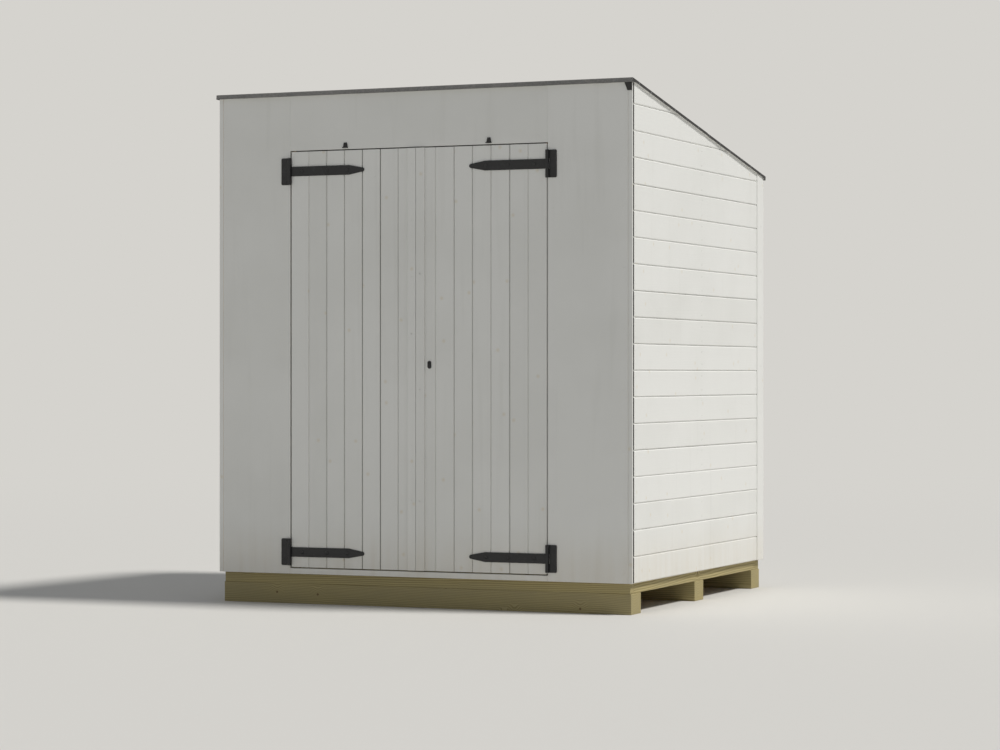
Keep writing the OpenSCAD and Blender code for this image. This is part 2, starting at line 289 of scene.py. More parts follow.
def lay_grain(piece, along):
    """Writes where each point lies in its board's log: along it, to the side and out from it."""
    mesh = piece.data
    points = np.array([v.co[:] for v in mesh.vertices])
    parts = loose_parts(mesh)
    grain = np.zeros_like(points)
    tone = np.zeros(len(points))
    for part in np.unique(parts):
        own = parts == part
        spot = points[own]
        centre = (spot.min(0) + spot.max(0)) / 2
        sides = sorted([v for v in (X, Y, Z) if abs(v.dot(along)) < 0.2][:2],
                       key=lambda v: -np.ptp(spot @ np.array(v)))
        if len(sides) < 2 or abs(along.dot(sides[0])) > 0.01:
            sides = [along.cross(Y).normalized(), Y]
        basis = np.array([along, sides[0], sides[1]])
        log = np.array([chance.uniform(0, LOG_LENGTH), chance.uniform(-PITH_ASIDE, PITH_ASIDE),
                        chance.uniform(*PITH_BEHIND)])
        grain[own] = (spot - centre) @ basis.T + log
        tone[own] = chance.uniform(-1, 1)
    mesh.attributes.new("grain", "FLOAT_VECTOR", "POINT")
    mesh.attributes["grain"].data.foreach_set("vector", grain.ravel())
    mesh.attributes.new("tone", "FLOAT", "POINT")
    mesh.attributes["tone"].data.foreach_set("value", tone)


# %% [markdown]
# Materials start from their real names. One function turns the hex colours that people write into
# the linear light that Blender works in. Another adds a node and feeds its inputs, and every
# finish below is built from those. A pattern's scale says how often it repeats in a metre: 250 is
# one mark every 4 mm. Where it has three numbers, they go along a board, across it and through it,
# and for the rain, which doesn't care for boards, along the hut, across it and up.

# %% Helpers for materials


def colour(code):
    channels = [int(code[i:i + 2], 16) / 255 for i in (1, 3, 5)]
    return [c / 12.92 if c <= 0.04045 else ((c + 0.055) / 1.055) ** 2.4 for c in channels] + [1]


def feed(tree, node, inputs):
    """Gives each input its value or its link. A whole node stands for its first output in use."""
    for key, source in inputs.items():
        if isinstance(source, bpy.types.Node):
            source = next(output for output in source.outputs if output.enabled)
        if isinstance(source, bpy.types.NodeSocket):
            tree.links.new(source, node.inputs[key])
        else:
            node.inputs[key].default_value = source


def add(tree, kind, inputs=None, **settings):
    node = tree.nodes.new("ShaderNode" + kind)
    for key, value in settings.items():
        setattr(node, key, value)
    feed(tree, node, inputs or {})
    return node


def finish_named(name, **shader_values):
    """A new material with one shader, and its tree and shader to work on."""
    material = bpy.data.materials.new(name)
    material.use_nodes = True
    tree = material.node_tree
    shader = tree.nodes["Principled BSDF"]
    feed(tree, shader, shader_values)
    return material, tree, shader


# %% [markdown]
# Softwood shows its growth rings: pale early wood that darkens to a thin line of late wood. The
# rings lie round the pith, so a sawn face shows long flames and a sawn end shows arcs, both from
# the same solid pattern. Ring spacing is about 4 mm in the wood; 7 mm is drawn, to show at all.
# Where a branch grew there is a knot, about 18 mm across, and the rings part to pass round it.
# Knots run slantwise through the wood, so they show as round spots on every long face. A log is
# never quite straight, so the rings sway over about 110 mm across and 700 mm along.

# %% Growth rings and knots
RING = 7 * MM
TAPER = 0.012
SWAY = 26 * MM
KNOT_RADIUS = 9 * MM
KNOT_APART = 260 * MM
KNOT_SWELL = 1.3 * RING
KNOT_PUSH = 5 * KNOT_RADIUS
SWAY_PATTERN = (1.4, 9, 9)


def knots(tree, grain, reach):
    """Outputs how near a knot is, 1 at its heart to 0 at the reach, and how far to its side."""
    split = add(tree, "SeparateXYZ", {0: grain})
    slant = add(tree, "Math", {0: split.outputs[1], 1: split.outputs[2]}, operation="ADD")
    spot = add(tree, "CombineXYZ", {0: split.outputs[0], 1: slant})
    knot = add(tree, "TexVoronoi", {"Scale": 1 / KNOT_APART, "Vector": spot},
               voronoi_dimensions="2D")
    near = add(tree, "MapRange", {0: knot, 1: 0.0, 2: reach / KNOT_APART, 3: 1.0, 4: 0.0},
               interpolation_type="SMOOTHSTEP")
    away = add(tree, "VectorMath", {0: spot, 1: knot.outputs["Position"]}, operation="SUBTRACT")
    aside = add(tree, "SeparateXYZ", {0: away})
    return near, aside.outputs[1]


def rings(tree, grain):
    """Outputs 0 in early wood and 1 in late wood."""
    split = add(tree, "SeparateXYZ", {0: grain})
    stretch = add(tree, "VectorMath", {0: grain, 1: SWAY_PATTERN}, operation="MULTIPLY")
    sway = add(tree, "TexNoise", {"Scale": 1.0, "Detail": 3, "Vector": stretch})
    near, aside = knots(tree, grain, KNOT_PUSH)
    pull = add(tree, "Math", {0: near, 1: aside}, operation="MULTIPLY")
    parted = add(tree, "Math", {0: split.outputs[1], 1: pull}, operation="SUBTRACT")
    across = add(tree, "CombineXYZ", {1: parted, 2: split.outputs[2]})
    far = add(tree, "VectorMath", {0: across}, operation="LENGTH")
    taper = add(tree, "Math", {0: split.outputs[0], 1: TAPER, 2: far}, operation="MULTIPLY_ADD")
    bent = add(tree, "Math", {0: sway, 1: SWAY, 2: taper}, operation="MULTIPLY_ADD")
    swell = add(tree, "Math", {0: near, 1: KNOT_SWELL, 2: bent}, operation="MULTIPLY_ADD")
    count = add(tree, "Math", {0: swell, 1: 1 / RING}, operation="MULTIPLY")
    part = add(tree, "Math", {0: count}, operation="FRACT")
    rise = add(tree, "MapRange", {0: part, 1: 0.25, 2: 0.88}, interpolation_type="SMOOTHSTEP")
    drop = add(tree, "MapRange", {0: part, 1: 0.9, 2: 1.0, 3: 1.0, 4: 0.0})
    return add(tree, "Math", {0: rise, 1: drop}, operation="MULTIPLY")


# %% [markdown]
# The walls wear white exterior paint on softwood, brushed along the boards. Brush marks and the
# rings under the paint show as the faintest relief. The white isn't quite even: boards differ a
# little in tone, it dulls in clouds of 400 mm, rain leaves pale grey streaks 45 mm apart, resin
# stains the paint over a knot, and blown sand dusts the lowest boards. A brush leaves marks under
# a millimetre apart. They are drawn 4 mm apart, to show at all.

# %% White exterior paint
PAINT_WHITE, PAINT_WORN, SAND_DUST, KNOT_STAIN = "#E9E9E5", "#D5D5CF", "#CDBFA3", "#D9CDB2"
PAINT_CLOUDS, RAIN_STREAKS, BRUSH_MARKS = 2.6, (22, 22, 1.3), (3, 260, 260)
STAIN_REACH = 1.5 * KNOT_RADIUS
PAINT_RELIEF = 0.4 * MM
DUST_FULL, DUST_TOP = 0.13, 0.4


def white_paint(name, relief=1.0, stain=0.45):
    material, tree, shader = finish_named(name, Roughness=0.46, IOR=1.48)
    place_on = add(tree, "TexCoord").outputs["Object"]
    height = add(tree, "SeparateXYZ", {0: place_on}).outputs["Z"]
    grain = add(tree, "Attribute", attribute_name="grain").outputs["Vector"]
    tone = add(tree, "Attribute", attribute_name="tone").outputs["Fac"]
    cloud = add(tree, "TexNoise", {"Scale": PAINT_CLOUDS, "Detail": 5, "Vector": place_on})
    run = add(tree, "VectorMath", {0: place_on, 1: RAIN_STREAKS}, operation="MULTIPLY")
    streak = add(tree, "TexNoise", {"Scale": 1.0, "Detail": 4, "Vector": run})
    shade = add(tree, "Math", {0: tone, 1: 0.14, 2: cloud}, operation="MULTIPLY_ADD")
    dull = add(tree, "MapRange", {0: shade, 1: 0.38, 2: 0.78, 3: 0.0, 4: 0.35})
    washed = add(tree, "MapRange", {0: streak, 1: 0.58, 2: 0.85, 3: 0.0, 4: 0.3})
    worn = add(tree, "Math", {0: dull, 1: washed}, operation="ADD", use_clamp=True)
    white = add(tree, "Mix", {0: worn, 6: colour(PAINT_WHITE), 7: colour(PAINT_WORN)},
                data_type="RGBA")
    near = knots(tree, grain, STAIN_REACH)[0]
    resin = add(tree, "Math", {0: near, 1: stain}, operation="MULTIPLY")
    stained = add(tree, "Mix", {0: resin, 6: white, 7: colour(KNOT_STAIN)}, data_type="RGBA")
    low = add(tree, "MapRange", {0: height, 1: DUST_FULL, 2: DUST_TOP, 3: 0.42, 4: 0.0},
              interpolation_type="SMOOTHSTEP")
    blown = add(tree, "Math", {0: low, 1: streak}, operation="MULTIPLY")
    dusty = add(tree, "Mix", {0: blown, 6: stained, 7: colour(SAND_DUST)}, data_type="RGBA")
    brush = add(tree, "VectorMath", {0: grain, 1: BRUSH_MARKS}, operation="MULTIPLY")
    marks = add(tree, "TexNoise", {"Scale": 1.0, "Detail": 2, "Vector": brush})
    under = add(tree, "Math", {0: rings(tree, grain), 1: 0.35, 2: marks}, operation="MULTIPLY_ADD")
    bump = add(tree, "Bump", {"Strength": 0.35 * relief, "Distance": PAINT_RELIEF,
                              "Height": under})
    feed(tree, shader, {"Base Color": dusty, "Normal": bump})
    return material


painted_board = white_paint("white_paint_on_softwood")
painted_sheet = white_paint("white_paint_on_plywood", relief=0.3, stain=0.0)
print("paint:", painted_board.name, "and", painted_sheet.name)

# %% [markdown]
# Bare timber shows in three states. Under the floor it is pressure treated, which leaves a
# yellow-green cast and a rough sawn face. Inside it is planed pine, warmer and smoother. In the
# joints of the boards the tongue was never painted and damp has greyed it, and this third finish
# is made far darker than greyed pine, so that it also paints the shade deep in joints and gaps.
# One function makes all three, because only the colours and the roughness differ. The fibres of
# the wood are far too fine to show, so they are drawn 2.4 mm apart, and its tone shifts in patches
# of 70 mm.

# %% Bare timber
FIBRE, TONE_PATCHES = (9, 420, 420), (3, 14, 14)


def softwood(name, early, late, dull, heart, roughness, saw_marks):
    material, tree, shader = finish_named(name, Roughness=roughness)
    grain = add(tree, "Attribute", attribute_name="grain").outputs["Vector"]
    tone = add(tree, "Attribute", attribute_name="tone").outputs["Fac"]
    ring = rings(tree, grain)
    fibre_at = add(tree, "VectorMath", {0: grain, 1: FIBRE}, operation="MULTIPLY")
    fibre = add(tree, "TexNoise", {"Scale": 1.0, "Detail": 3, "Vector": fibre_at})
    wood = add(tree, "Mix", {0: ring, 6: colour(early), 7: colour(late)}, data_type="RGBA")
    patch_at = add(tree, "VectorMath", {0: grain, 1: TONE_PATCHES}, operation="MULTIPLY")
    patch = add(tree, "TexNoise", {"Scale": 1.0, "Detail": 4, "Vector": patch_at})
    shift = add(tree, "Math", {0: tone, 1: 0.12, 2: patch}, operation="MULTIPLY_ADD")
    fade = add(tree, "MapRange", {0: shift, 1: 0.35, 2: 0.75, 3: 0.0, 4: 0.55})
    weathered = add(tree, "Mix", {0: fade, 6: wood, 7: colour(dull)}, data_type="RGBA")
    near = knots(tree, grain, KNOT_RADIUS)[0]
    core = add(tree, "MapRange", {0: near, 1: 0.15, 2: 0.5, 3: 0.0, 4: 0.85})
    knotty = add(tree, "Mix", {0: core, 6: weathered, 7: colour(heart)}, data_type="RGBA")
    relief = add(tree, "Math", {0: ring, 1: 0.5, 2: fibre}, operation="MULTIPLY_ADD")
    bump = add(tree, "Bump", {"Strength": 0.5, "Distance": saw_marks, "Height": relief})
    feed(tree, shader, {"Base Color": knotty, "Normal": bump})
    return material


treated = softwood("pressure_treated_pine", "#B3A577", "#8B7E4F", "#958B69", "#6A5636",
                   roughness=0.82, saw_marks=0.8 * MM)
planed = softwood("planed_pine", "#D9B98A", "#B98D58", "#C9A777", "#7C4F2B",
                  roughness=0.6, saw_marks=0.3 * MM)
# Greyed by damp, and far darker than that, so that it also paints the shade in joints and gaps.
greyed_pine_and_gap_shade = softwood("greyed_pine_and_painted_gap_shade", "#453F35", "#35302A", "#2C2824", "#26211B",
                roughness=0.9, saw_marks=0.3 * MM)
print("timber:", treated.name, planed.name, greyed_pine_and_gap_shade.name)

# %% [markdown]
# The hinges, lock and clips are mild steel under a black coat. It is satin, a little orange-peeled
# from the dip, with 2.4 mm from bump to bump, and greyed by salt in patches of 26 mm where the sea
# air settles on it.

# %% Black coated steel
BLACK, SALT_GREY = "#131416", "#424344"
SALT_PATCHES, ORANGE_PEEL, PEEL_RELIEF = 38, 420, 0.3 * MM

black_coat, tree, shader = finish_named("black_coated_steel", Roughness=0.42, IOR=1.5)
place_on = add(tree, "TexCoord").outputs["Object"]
salt = add(tree, "TexNoise", {"Scale": SALT_PATCHES, "Detail": 6, "Roughness": 0.65,
                              "Vector": place_on})
bloom = add(tree, "MapRange", {0: salt, 1: 0.5, 2: 0.8, 3: 0.0, 4: 0.45},
            interpolation_type="SMOOTHSTEP")
black = add(tree, "Mix", {0: bloom, 6: colour(BLACK), 7: colour(SALT_GREY)}, data_type="RGBA")
matt = add(tree, "MapRange", {0: salt, 1: 0.3, 2: 0.8, 3: 0.36, 4: 0.62})
peel = add(tree, "TexNoise", {"Scale": ORANGE_PEEL, "Detail": 2, "Vector": place_on})
bump = add(tree, "Bump", {"Strength": 0.25, "Distance": PEEL_RELIEF, "Height": peel})
feed(tree, shader, {"Base Color": black, "Roughness": matt, "Normal": bump})
print("iron:", black_coat.name)

# %% [markdown]
# Nuts, washers and nails are zinc plated steel. Indoors it stays a bright silver with a faint
# crystal pattern of 4 mm and duller spots of 11 mm. Out on the roof it has weathered to a dull
# grey, so one function takes both pairs of greys and the least roughness.

# %% Zinc plated steel
CRYSTALS, DULL_SPOTS = 260, 90


def zinc_plate(name, dark, light, smoothest):
    material, tree, shader = finish_named(name, Metallic=1.0, Roughness=smoothest)
    place_on = add(tree, "TexCoord").outputs["Object"]
    spangle = add(tree, "TexVoronoi", {"Scale": CRYSTALS, "Vector": place_on})
    speck = add(tree, "SeparateColor", {0: spangle.outputs["Color"]})
    grey = add(tree, "Mix", {0: speck, 6: colour(dark), 7: colour(light)}, data_type="RGBA")
    cloud = add(tree, "TexNoise", {"Scale": DULL_SPOTS, "Detail": 3, "Vector": place_on})
    rough = add(tree, "MapRange", {0: cloud, 3: smoothest, 4: smoothest + 0.25})
    feed(tree, shader, {"Base Color": grey, "Roughness": rough})
    return material


zinc = zinc_plate("zinc_plated_steel", "#A9ABAD", "#CFD1D2", 0.3)
old_zinc = zinc_plate("weathered_zinc", "#747677", "#8B8D8E", 0.5)
print("nuts and nails:", zinc.name, "and", old_zinc.name)

# %% [markdown]
# Roofing felt is bitumen with slate granules pressed into its upper side. The granules are about
# 1.5 mm across; 4 mm is drawn so that the roof doesn't look smooth from a few metres away. It
# weathers in clouds of about 300 mm.

# %% Mineral roofing felt
DARK_SLATE, PALE_SLATE = "#5E5E5D", "#93918D"
GRIT, GRIT_RELIEF, FELT_CLOUDS = 4 * MM, 1.2 * MM, 3.5

felt, tree, shader = finish_named("mineral_roofing_felt", Roughness=0.93)
place_on = add(tree, "TexCoord").outputs["Object"]
grit = add(tree, "TexVoronoi", {"Scale": 1 / GRIT, "Vector": place_on})
speck = add(tree, "SeparateColor", {0: grit.outputs["Color"]})
cloud = add(tree, "TexNoise", {"Scale": FELT_CLOUDS, "Detail": 6, "Vector": place_on})
mixed = add(tree, "Math", {0: speck, 1: 0.45, 2: cloud}, operation="MULTIPLY_ADD")
share = add(tree, "MapRange", {0: mixed, 1: 0.2, 2: 1.2})
slate = add(tree, "Mix", {0: share, 6: colour(DARK_SLATE), 7: colour(PALE_SLATE)}, data_type="RGBA")
bump = add(tree, "Bump", {"Strength": 0.6, "Distance": GRIT_RELIEF, "Height": grit})
feed(tree, shader, {"Base Color": slate, "Normal": bump})
print("roof:", felt.name)

# %% [markdown]
# Where the felt is folded down at the sides it is finished darker than the front fold, in black
# bitumen: half matt, with wrinkles 4 mm apart and patches of 40 mm that the sun has dried.

# %% Bare bitumen
TAR, DRIED_TAR = "#171616", "#2C2A29"
TAR_PATCHES, WRINKLES, WRINKLE_RELIEF = 24, 240, 0.6 * MM

bitumen, tree, shader = finish_named("bare_bitumen", Roughness=0.6)
place_on = add(tree, "TexCoord").outputs["Object"]
cloud = add(tree, "TexNoise", {"Scale": TAR_PATCHES, "Detail": 5, "Vector": place_on})
tar = add(tree, "Mix", {0: cloud, 6: colour(TAR), 7: colour(DRIED_TAR)}, data_type="RGBA")
sheen = add(tree, "MapRange", {0: cloud, 1: 0.3, 2: 0.7, 3: 0.45, 4: 0.8})
wrinkle = add(tree, "TexNoise", {"Scale": WRINKLES, "Detail": 3, "Vector": place_on})
bump = add(tree, "Bump", {"Strength": 0.4, "Distance": WRINKLE_RELIEF, "Height": wrinkle})
feed(tree, shader, {"Base Color": tar, "Roughness": sheen, "Normal": bump})
print("folds:", bitumen.name)

# %% [markdown]
# A finished piece gets its material and the body that it moves with, and the frame's nodes that it
# stands for are hidden. A second material goes on those of its faces that were finished another
# way.

# %% Dress a piece


def dress(piece, material, body, slot, *nodes):
    piece.data.materials.clear()
    piece.data.materials.append(material)
    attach(piece, body)
    if nodes:
        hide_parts(*nodes)
    return piece


def finish_faces(piece, material, wanted):
    """Gives some faces of a dressed piece a second material."""
    piece.data.materials.append(material)
    piece.active_material_index = len(piece.data.materials) - 1
    with editing(piece):
        pick_faces(piece, wanted)
        bpy.ops.object.material_slot_assign()


# %% [markdown]
# The walls, doors, floor and roof are made of tongued and grooved boards. One board is modelled
# lying on its back: a block, sawn into thirds through its thickness, whose middle third is drawn
# out for the tongue on one edge and pushed in for the groove on the other. Two chamfers on its
# face make half a V each. The row is an array of that board. Boards dry after they are nailed, so
# each is then drawn in by its own small amount at one edge, which opens that joint, and set a
# hair lower or higher than its neighbours.

# %% One tongued and grooved board
TONGUE = 6 * MM
GROOVE = 7 * MM
BOARD_GAP = 0.2 * MM
ARRIS = 0.7 * MM


def tongued_board(name, length, cover, thick, vee):
    board = block(name, (0, 0, -thick), (length, cover - BOARD_GAP, 0))
    third = thick / 3
    with editing(board):
        for level in (-third, -2 * third):
            saw((0, 0, level), Z)
        pick_faces(board, lambda c, n: n.y > 0.9 and -2 * third < c.z < -third)
        bpy.ops.mesh.extrude_region_move(TRANSFORM_OT_translate={"value": (0, TONGUE, 0)})
        pick_faces(board, lambda c, n: n.y < -0.9 and -2 * third < c.z < -third)
        bpy.ops.mesh.extrude_region_move(TRANSFORM_OT_translate={"value": (0, GROOVE, 0)})
        bpy.ops.mesh.select_mode(type="EDGE")
        pick_edges(board, lambda c, d: abs(c.z) < 0.1 * MM and abs(d.x) > 0.9 * length)
        bpy.ops.mesh.bevel(offset=vee, segments=1, affect="EDGES")
    ease(board, ARRIS)
    return board


# %% A row of boards
SHRINKAGE = (0.3 * MM, 1.3 * MM)


def boarding(name, length, width, cover, thick, vee, openings=(), unevenness=0.3 * MM):
    """A row of boards that covers width, the last one ripped to fit."""
    rows = math.ceil(width / cover - 0.01)
    wall = tongued_board(name, length, cover, thick, vee)
    per_board = len(wall.data.vertices)
    apply_modifier(wall, "ARRAY", count=rows, use_relative_offset=False,
                   use_constant_offset=True, constant_offset_displace=(0, cover, 0))
    for row in range(rows):
        opening = openings[row] if openings else chance.uniform(*SHRINKAGE)
        own = range(row * per_board, (row + 1) * per_board)
        with editing(wall, "VERT"):
            pick_points(wall, lambda number, co: number in own)
            bpy.ops.transform.translate(value=(0, 0, -chance.uniform(0, unevenness)))
            pick_points(wall, lambda number, co: number in own and co.y > (row + 0.5) * cover)
            bpy.ops.transform.translate(value=(0, -opening, 0))
    cut_off(wall, (0, width, 0), (0, 1, 0))
    print(name, rows, "boards of", round(cover / MM, 1), "mm")
    return wall


def bare_tongues(wall, outward, thick):
    """The tongues' faces, a third of the thickness down, keep no paint: their dark greyed pine also
    paints the shade in the joints.
    """
    face = max(v.co.dot(outward) for v in wall.data.vertices)
    finish_faces(wall, greyed_pine_and_gap_shade, lambda c, n: n.dot(outward) > 0.9
                 and 0.2 * thick < face - c.dot(outward) < 0.45 * thick)


# %% [markdown]
# The side and rear walls run their boards level from the lowest edge up, 114 mm of cover each,
# and the last ones are sawn off along the slope of the roof. Only the outside is painted, so the
# faces that look into the room get bare planed pine. The sawn ends are greyed by rain, and the
# dark greyed finish on them also paints the shade that draws the dark line down the open joint at
# each front corner.

# %% Boards on the sides and rear
WALL_COVER = 114 * MM
WALL_VEE = 4 * MM


def wall_boards(node, face_normal):
    low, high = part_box(node)
    thick = min(high.x - low.x, high.y - low.y)
    along = Z.cross(face_normal)
    length = abs((high - low).dot(along))
    start = face_normal - along
    corner = Vector((high.x if start.x > 0 else low.x, high.y if start.y > 0 else low.y, low.z))
    wall = boarding(node + "_boards", length, high.z - low.z, WALL_COVER, thick, WALL_VEE)
    place(wall, corner, along, Z)
    cut_off(wall, eave, roof_up)
    lay_grain(wall, X if abs(along.x) > 0.5 else Y)
    dress(wall, painted_board, "hut", "white_paint", node)
    bare_tongues(wall, face_normal, thick)
    # The board ends get the dark greyed pine: greyed by rain, and painted shade in the corner
    # joints.
    finish_faces(wall, greyed_pine_and_gap_shade, lambda c, n: abs(n.dot(along)) > 0.9)
    finish_faces(wall, planed, lambda c, n: n.dot(face_normal) < -0.5)


for node, face_normal in (("right_cladding", X), ("left_cladding", -X), ("rear_cladding", Y)):
    wall_boards(node, face_normal)

# %% [markdown]
# Each door leaf is seven upright boards. In the photograph some of their joints show much more
# than others, so these openings are listed one by one, from each leaf's right edge to its left.

# %% Boards on the door leaves
DOOR_BOARDS = 7
DOOR_UNEVEN = 0.2 * MM
DOOR_VEE = 4 * MM
DOOR_OPENINGS = {"left": (0.7, 2.6, 2.2, 1.3, 1.2, 0, 0), "right": (0, 1.8, 0.7, 1.2, 1.3, 0, 0)}


def leaf_boards(side):
    node = side + "_leaf_boards"
    low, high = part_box(node)
    width = high.x - low.x
    openings = [opening * MM for opening in DOOR_OPENINGS[side]]
    leaf = boarding(node + "_row", high.z - low.z, width, width / DOOR_BOARDS, high.y - low.y,
                    DOOR_VEE, openings, DOOR_UNEVEN)
    place(leaf, Vector((high.x, low.y, low.z)), Z, -X)
    lay_grain(leaf, Z)
    dress(leaf, painted_board, side + "_leaf", "white_paint", node)
    bare_tongues(leaf, -Y, high.y - low.y)


for side, _ in SIDES:
    leaf_boards(side)

# %% [markdown]
# The floor and the roof boards run across the hut, on the joists and the rafter, and cover 121
# and 114 mm each. The roof boards turn their V joints down, because the underside is the face that
# shows from inside. Where they stand out past the walls they are painted with them, and a little
# way in over the joints of the wall boards too, so they are cut there for a second finish.

# %% Floor boards
FLOOR_COVER = 121 * MM
FLOOR_VEE = 1 * MM

low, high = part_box("floor_deck")
floor = boarding("floor_boards", high.x - low.x, high.y - low.y, FLOOR_COVER,
                 high.z - low.z, FLOOR_VEE)
place(floor, Vector((low.x, low.y, high.z)), X, Y)
lay_grain(floor, X)
dress(floor, planed, "hut", "bare_timber", "floor_deck")

# %% Roof boards
ROOF_VEE = 2.5 * MM
BRUSH_REACH = 8 * MM
PAINT_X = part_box("right_cladding")[1].x - BRUSH_REACH
PAINT_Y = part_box("rear_cladding")[1].y - BRUSH_REACH

front, rear, under, top = slope_reach("roof_deck")
low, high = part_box("roof_deck")
rear_edge = eave + down_slope * rear + roof_up * under
roof = boarding("roof_boards", high.x - low.x, rear - front, WALL_COVER, top - under, ROOF_VEE)
place(roof, Vector((low.x, rear_edge.y, rear_edge.z)), X, -down_slope)
lay_grain(roof, X)
dress(roof, planed, "hut", "bare_timber", "roof_deck")
with editing(roof):
    for edge in (PAINT_X * X, -PAINT_X * X, PAINT_Y * Y, -PAINT_Y * Y):
        saw(edge, edge.normalized())
finish_faces(roof, painted_board, lambda c, n: abs(c.x) > PAINT_X or abs(c.y) > PAINT_Y)

# %% [markdown]
# Every other timber has its right shape already, but sawn timber has no knife edges. A copy of
# each is merged into whole faces, and a bevel eases its edges: 2 mm on the rough base timber and
# 1.5 mm on the planed frame.

# %% Eased copies of the frame's pieces
ROUGH_EDGE = 2 * MM
PLANED_EDGE = 1.5 * MM


def whole_faced(node):
    """A copy of a frame piece with its loose triangles merged into flat faces."""
    piece = bpy.data.objects.new(node + "_piece", frame["nodes"][node].data.copy())
    bpy.context.scene.collection.objects.link(piece)
    with editing(piece, "VERT"):
        bpy.ops.mesh.select_all(action="SELECT")
        bpy.ops.mesh.remove_doubles(threshold=0.01 * MM)
        bpy.ops.mesh.dissolve_limited(angle_limit=math.radians(1))
        bpy.ops.mesh.normals_make_consistent(inside=False)
    return piece


def eased(node, along, width, material, slot, body="hut"):
    piece = whole_faced(node)
    ease(piece, width, segments=2)
    lay_grain(piece, along)
    return dress(piece, material, body, slot, node)


BASE_TIMBER = {
    "front_bearer": X, "middle_bearer": X, "rear_bearer": X, "rim_joists": X,
    "left_joist": Y, "right_joist": Y, "centre_joist": Y,
}
FRAME_TIMBER = {
    "front_left_post": Z, "front_right_post": Z, "rear_left_post": Z, "rear_right_post": Z,
    "left_door_post": Z, "right_door_post": Z, "wall_studs": Z, "door_header": X,
    "front_top_plate": X, "rear_top_plate": X, "left_top_plate": Y, "right_top_plate": Y,
    "centre_rafter": Y,
}
for node, along in BASE_TIMBER.items():
    eased(node, along, ROUGH_EDGE, treated, "treated_timber")
for node, along in FRAME_TIMBER.items():
    eased(node, along, PLANED_EDGE, planed, "bare_timber")
print("eased", len(BASE_TIMBER) + len(FRAME_TIMBER), "timbers")

# %% [markdown]
# The front is faced with painted plywood beside and over the doors. At each corner a thin strip
# ends it, and an open joint stays between that strip and the side boards. Boards 95 mm wide stand
# at the rear corners. Ledges and braces hold the door boards together from behind. Paint rounds
# the edges of all these boards to 2 mm. Rain gets in over the doors and greys the beam behind that
# gap, and its dark finish also paints the shade in that gap as a dark line.

# %% Panels, corner pieces, ledges and braces
SHEET_EDGE = 1.2 * MM
PAINTED_EDGE = 2 * MM
for node, along in (("left_front_panel", Z), ("right_front_panel", Z), ("head_panel", X)):
    panel = eased(node, along, SHEET_EDGE, painted_sheet, "white_paint")
    finish_faces(panel, planed, lambda c, n: n.y > 0.9)
# The beam's face behind the gap over the doors: greyed by rain, and painted shade in that gap.
finish_faces(bpy.data.objects["door_header_piece"], greyed_pine_and_gap_shade, lambda c, n: n.y < -0.9)
eased("door_sill", X, PLANED_EDGE, painted_board, "white_paint")
for node in ("front_trims", "rear_trims"):
    corner_piece = eased(node, Z, PAINTED_EDGE, painted_board, "white_paint")
    finish_faces(corner_piece, planed, lambda c, n: n.x * c.x < -0.9 * abs(c.x))
for side, way in SIDES:
    brace_low, brace_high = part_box(side + "_leaf_braces")
    rise = (brace_high.z - brace_low.z) / 2
    slant = Vector((-way * (brace_high.x - brace_low.x), 0, rise)).normalized()
    for part, along in (("_leaf_ledges", X), ("_leaf_braces", slant)):
        eased(side + part, along, PAINTED_EDGE, painted_board, "white_paint", side + "_leaf")

# %% [markdown]
# In the photograph no dark line shows where the leaves meet: a flat strip hides it. Here each leaf
# carries half of that strip along its free edge, so either can open first. A strip is a block
# whose outer front edge is rounded with a bevel of three segments.

# %% Meeting strips
STRIP_REACH = 41 * MM
STRIP_THICK = 9 * MM
STRIP_JOINT = 2 * MM
STRIP_ROUND, STRIP_ARRIS = 3 * MM, 0.6 * MM
leaf_low, leaf_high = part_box("right_leaf_boards")
meeting = (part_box("left_leaf_boards")[1].x + leaf_low.x) / 2
front_face = leaf_low.y


def meeting_strip(side, way):
    near, far = sorted((meeting + way * STRIP_JOINT / 2, meeting + way * STRIP_REACH))
    strip = block(side + "_meeting_strip", (near, front_face - STRIP_THICK, leaf_low.z),
                  (far, front_face, leaf_high.z))
    outer = far if way > 0 else near
    with editing(strip, "EDGE"):
        pick_edges(strip, lambda c, d: abs(c.x - outer) < MM and c.y < front_face - MM
                   and abs(d.z) > MM)
        bpy.ops.mesh.bevel(offset=STRIP_ROUND, segments=3, affect="EDGES")
    ease(strip, STRIP_ARRIS)
    lay_grain(strip, Z)
    dress(strip, painted_board, side + "_leaf", "white_paint")


for side, way in SIDES:
    meeting_strip(side, way)
print("leaves meet at x", round(meeting / MM), "mm")

# %% [markdown]
# The T hinges, the lock and the clips keep their frame shapes, with a fine bevel so that the
# iron's edges catch the light. Faces that meet at less than 20 degrees are shaded as one round
# surface, which turns the knuckles' facets into cylinders.

# %% Ironwork
IRON_EDGE = 0.6 * MM
CASE_EDGE = 2.5 * MM
ROUND_IRON = (
    ("left_hinge_plates", Z, "hut"), ("left_hinge_straps", X, "left_leaf"),
    ("right_hinge_plates", Z, "hut"), ("right_hinge_straps", X, "right_leaf"),
    ("lock_plate", Z, "right_leaf"),
)


def smooth_below(piece, degrees):
    make_active(piece)
    bpy.ops.object.shade_smooth_by_angle(angle=math.radians(degrees))


for node, along, body in ROUND_IRON:
    smooth_below(eased(node, along, IRON_EDGE, black_coat, "black_iron", body), 20)
eased("lock_case", Z, CASE_EDGE, black_coat, "black_iron", "right_leaf")
eased("head_clips", Z, IRON_EDGE, black_coat, "black_iron")
print("iron pieces:", len(ROUND_IRON) + 2)

# %% [markdown]
# Nails, screws and bolts are small, but they are what makes boards and iron look fixed. Each kind
# is modelled once at the origin with its head up, and copied to its spots, turned so that the
# head faces outwards and by a random amount round itself, as a hand drives them.

